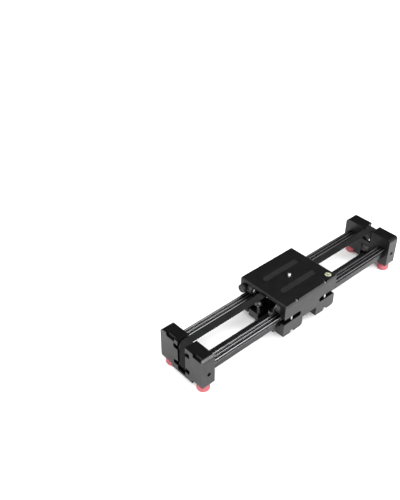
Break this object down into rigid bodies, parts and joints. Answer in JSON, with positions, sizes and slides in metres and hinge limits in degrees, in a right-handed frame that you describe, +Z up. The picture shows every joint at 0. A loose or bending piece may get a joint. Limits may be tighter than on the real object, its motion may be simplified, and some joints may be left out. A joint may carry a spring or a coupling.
{
  "type": "camera slider",
  "caption": "Rail slider for a camera: end blocks on feet, twin rails, belt-linked camera and tripod carriages, bubble level and stud.",
  "frame": {"origin": "middle of the footprint at floor level", "axes": "+X along the rails, +Y across them towards the side with the lock knob, +Z up"},
  "size_m": [0.5, 0.1072, 0.0892],
  "materials": {
    "anodised_body": "satin black anodised",
    "rail_metal": "satin black anodised extrusion",
    "plate_metal": "satin black anodised",
    "tripod_metal": "satin black anodised",
    "belt_rubber": "matte ribbed",
    "idler_metal": "turned",
    "dark_steel": "black oxide",
    "foot_rubber": "soft red",
    "bright_steel": "bright zinc plated",
    "grip_rubber": "matte ribbed",
    "level_metal": "satin",
    "level_liquid": "clear yellow-green liquid",
    "level_window": "clear",
    "wheel_rubber": "smooth black polyurethane",
    "bearing_steel": "polished bearing ring",
    "knob_plastic": "knurled black"
  },
  "bodies": {
    "frame": {"left_end_block": "anodised_body", "right_end_block": "anodised_body", "near_rail": "rail_metal", "far_rail": "rail_metal", "drive_belt": "belt_rubber", "idler_axles": "dark_steel", "rail_set_screws": "dark_steel"},
    "camera_carriage": {"camera_plate": "plate_metal", "near_side_block": "anodised_body", "far_side_block": "anodised_body", "near_grip_strip": "grip_rubber", "far_grip_strip": "grip_rubber", "camera_stud": "bright_steel", "level_cup": "level_metal", "level_liquid": "level_liquid", "level_window": "level_window", "plate_screws": "bright_steel", "preload_screws": "bright_steel", "wheel_bolts": "bright_steel", "roller_pins": "bright_steel", "camera_belt_clamp": "tripod_metal", "camera_clamp_screws": "bright_steel"},
    "tripod_carriage": {"tripod_plate": "tripod_metal", "guide_bolts": "bright_steel", "guide_spacers": "bright_steel", "tripod_belt_clamp": "tripod_metal", "tripod_clamp_screws": "bright_steel", "tripod_insert": "bright_steel"},
    "left_upper_idler": {"left_upper_idler": "idler_metal"},
    "left_lower_idler": {"left_lower_idler": "idler_metal"},
    "right_upper_idler": {"right_upper_idler": "idler_metal"},
    "right_lower_idler": {"right_lower_idler": "idler_metal"},
    "near_left_wheel": {"near_left_wheel": "wheel_rubber"},
    "near_right_wheel": {"near_right_wheel": "wheel_rubber"},
    "far_left_wheel": {"far_left_wheel": "wheel_rubber"},
    "far_right_wheel": {"far_right_wheel": "wheel_rubber"},
    "near_left_roller": {"near_left_roller": "wheel_rubber"},
    "near_right_roller": {"near_right_roller": "wheel_rubber"},
    "far_left_roller": {"far_left_roller": "wheel_rubber"},
    "far_right_roller": {"far_right_roller": "wheel_rubber"},
    "near_left_guide_wheel": {"near_left_guide_wheel": "bearing_steel"},
    "near_right_guide_wheel": {"near_right_guide_wheel": "bearing_steel"},
    "far_left_guide_wheel": {"far_left_guide_wheel": "bearing_steel"},
    "far_right_guide_wheel": {"far_right_guide_wheel": "bearing_steel"},
    "near_left_foot": {"near_left_foot": "foot_rubber", "near_left_foot_stud": "bright_steel"},
    "near_right_foot": {"near_right_foot": "foot_rubber", "near_right_foot_stud": "bright_steel"},
    "far_left_foot": {"far_left_foot": "foot_rubber", "far_left_foot_stud": "bright_steel"},
    "far_right_foot": {"far_right_foot": "foot_rubber", "far_right_foot_stud": "bright_steel"},
    "lock_knob": {"lock_knob": "knob_plastic", "lock_screw": "bright_steel"}
  },
  "joints": [
    {"name": "camera_slide", "type": "slide", "parent": "frame", "child": "camera_carriage", "axis": [1, 0, 0], "range_m": [-0.15, 0.15]},
    {"name": "tripod_slide", "type": "slide", "parent": "frame", "child": "tripod_carriage", "axis": [1, 0, 0], "range_m": [-0.15, 0.15]},
    {"name": "left_upper_idler_spin", "type": "hinge", "parent": "frame", "child": "left_upper_idler", "pos_m": [-0.2357, 0, 0.063], "axis": [0, 1, 0], "range_deg": [-780, 780]},
    {"name": "left_lower_idler_spin", "type": "hinge", "parent": "frame", "child": "left_lower_idler", "pos_m": [-0.2357, 0, 0.0272], "axis": [0, 1, 0], "range_deg": [-780, 780]},
    {"name": "right_upper_idler_spin", "type": "hinge", "parent": "frame", "child": "right_upper_idler", "pos_m": [0.2357, 0, 0.063], "axis": [0, 1, 0], "range_deg": [-780, 780]},
    {"name": "right_lower_idler_spin", "type": "hinge", "parent": "frame", "child": "right_lower_idler", "pos_m": [0.2357, 0, 0.0272], "axis": [0, 1, 0], "range_deg": [-780, 780]},
    {"name": "near_left_wheel_spin", "type": "hinge", "parent": "camera_carriage", "child": "near_left_wheel", "pos_m": [-0.056, -0.0355, 0.0619], "axis": [0, 1, 0], "range_deg": [-920, 920]},
    {"name": "near_left_roller_spin", "type": "hinge", "parent": "camera_carriage", "child": "near_left_roller", "pos_m": [-0.0435, -0.0395, 0.0278], "axis": [0, 1, 0], "range_deg": [-1380, 1380]},
    {"name": "near_left_guide_wheel_spin", "type": "hinge", "parent": "tripod_carriage", "child": "near_left_guide_wheel", "pos_m": [-0.054, -0.0184, 0.043], "axis": [0, 0, 1], "range_deg": [-800, 800]},
    {"name": "near_right_wheel_spin", "type": "hinge", "parent": "camera_carriage", "child": "near_right_wheel", "pos_m": [0.056, -0.0355, 0.0619], "axis": [0, 1, 0], "range_deg": [-920, 920]},
    {"name": "near_right_roller_spin", "type": "hinge", "parent": "camera_carriage", "child": "near_right_roller", "pos_m": [0.0435, -0.0395, 0.0278], "axis": [0, 1, 0], "range_deg": [-1380, 1380]},
    {"name": "near_right_guide_wheel_spin", "type": "hinge", "parent": "tripod_carriage", "child": "near_right_guide_wheel", "pos_m": [0.054, -0.0184, 0.043], "axis": [0, 0, 1], "range_deg": [-800, 800]},
    {"name": "far_left_wheel_spin", "type": "hinge", "parent": "camera_carriage", "child": "far_left_wheel", "pos_m": [-0.056, 0.0355, 0.0619], "axis": [0, 1, 0], "range_deg": [-920, 920]},
    {"name": "far_left_roller_spin", "type": "hinge", "parent": "camera_carriage", "child": "far_left_roller", "pos_m": [-0.0435, 0.0395, 0.0278], "axis": [0, 1, 0], "range_deg": [-1380, 1380]},
    {"name": "far_left_guide_wheel_spin", "type": "hinge", "parent": "tripod_carriage", "child": "far_left_guide_wheel", "pos_m": [-0.054, 0.0184, 0.043], "axis": [0, 0, 1], "range_deg": [-800, 800]},
    {"name": "far_right_wheel_spin", "type": "hinge", "parent": "camera_carriage", "child": "far_right_wheel", "pos_m": [0.056, 0.0355, 0.0619], "axis": [0, 1, 0], "range_deg": [-920, 920]},
    {"name": "far_right_roller_spin", "type": "hinge", "parent": "camera_carriage", "child": "far_right_roller", "pos_m": [0.0435, 0.0395, 0.0278], "axis": [0, 1, 0], "range_deg": [-1380, 1380]},
    {"name": "far_right_guide_wheel_spin", "type": "hinge", "parent": "tripod_carriage", "child": "far_right_guide_wheel", "pos_m": [0.054, 0.0184, 0.043], "axis": [0, 0, 1], "range_deg": [-800, 800]},
    {"name": "near_left_foot_turn", "type": "hinge", "parent": "frame", "child": "near_left_foot", "pos_m": [-0.2375, -0.039, 0], "axis": [0, 0, 1], "range_deg": [0, 1080]},
    {"name": "near_right_foot_turn", "type": "hinge", "parent": "frame", "child": "near_right_foot", "pos_m": [0.2375, -0.039, 0], "axis": [0, 0, 1], "range_deg": [0, 1080]},
    {"name": "far_left_foot_turn", "type": "hinge", "parent": "frame", "child": "far_left_foot", "pos_m": [-0.2375, 0.039, 0], "axis": [0, 0, 1], "range_deg": [0, 1080]},
    {"name": "far_right_foot_turn", "type": "hinge", "parent": "frame", "child": "far_right_foot", "pos_m": [0.2375, 0.039, 0], "axis": [0, 0, 1], "range_deg": [0, 1080]},
    {"name": "lock_knob_turn", "type": "hinge", "parent": "camera_carriage", "child": "lock_knob", "pos_m": [-0.0663, 0.0455, 0.064], "axis": [-1, 0, 0], "range_deg": [-90, 270]}
  ],
  "couplings": [
    {"joint": "tripod_slide", "follows": "camera_slide", "ratio": -1},
    {"joint": "left_upper_idler_spin", "follows": "camera_slide", "rad_per_m": 88.496},
    {"joint": "left_lower_idler_spin", "follows": "camera_slide", "rad_per_m": 88.496},
    {"joint": "right_upper_idler_spin", "follows": "camera_slide", "rad_per_m": 88.496},
    {"joint": "right_lower_idler_spin", "follows": "camera_slide", "rad_per_m": 88.496},
    {"joint": "near_left_wheel_spin", "follows": "camera_slide", "rad_per_m": 105.26},
    {"joint": "near_left_roller_spin", "follows": "camera_slide", "rad_per_m": -158.73},
    {"joint": "near_left_guide_wheel_spin", "follows": "camera_slide", "rad_per_m": 90.909},
    {"joint": "near_right_wheel_spin", "follows": "camera_slide", "rad_per_m": 105.26},
    {"joint": "near_right_roller_spin", "follows": "camera_slide", "rad_per_m": -158.73},
    {"joint": "near_right_guide_wheel_spin", "follows": "camera_slide", "rad_per_m": 90.909},
    {"joint": "far_left_wheel_spin", "follows": "camera_slide", "rad_per_m": 105.26},
    {"joint": "far_left_roller_spin", "follows": "camera_slide", "rad_per_m": -158.73},
    {"joint": "far_left_guide_wheel_spin", "follows": "camera_slide", "rad_per_m": -90.909},
    {"joint": "far_right_wheel_spin", "follows": "camera_slide", "rad_per_m": 105.26},
    {"joint": "far_right_roller_spin", "follows": "camera_slide", "rad_per_m": -158.73},
    {"joint": "far_right_guide_wheel_spin", "follows": "camera_slide", "rad_per_m": -90.909}
  ]
}
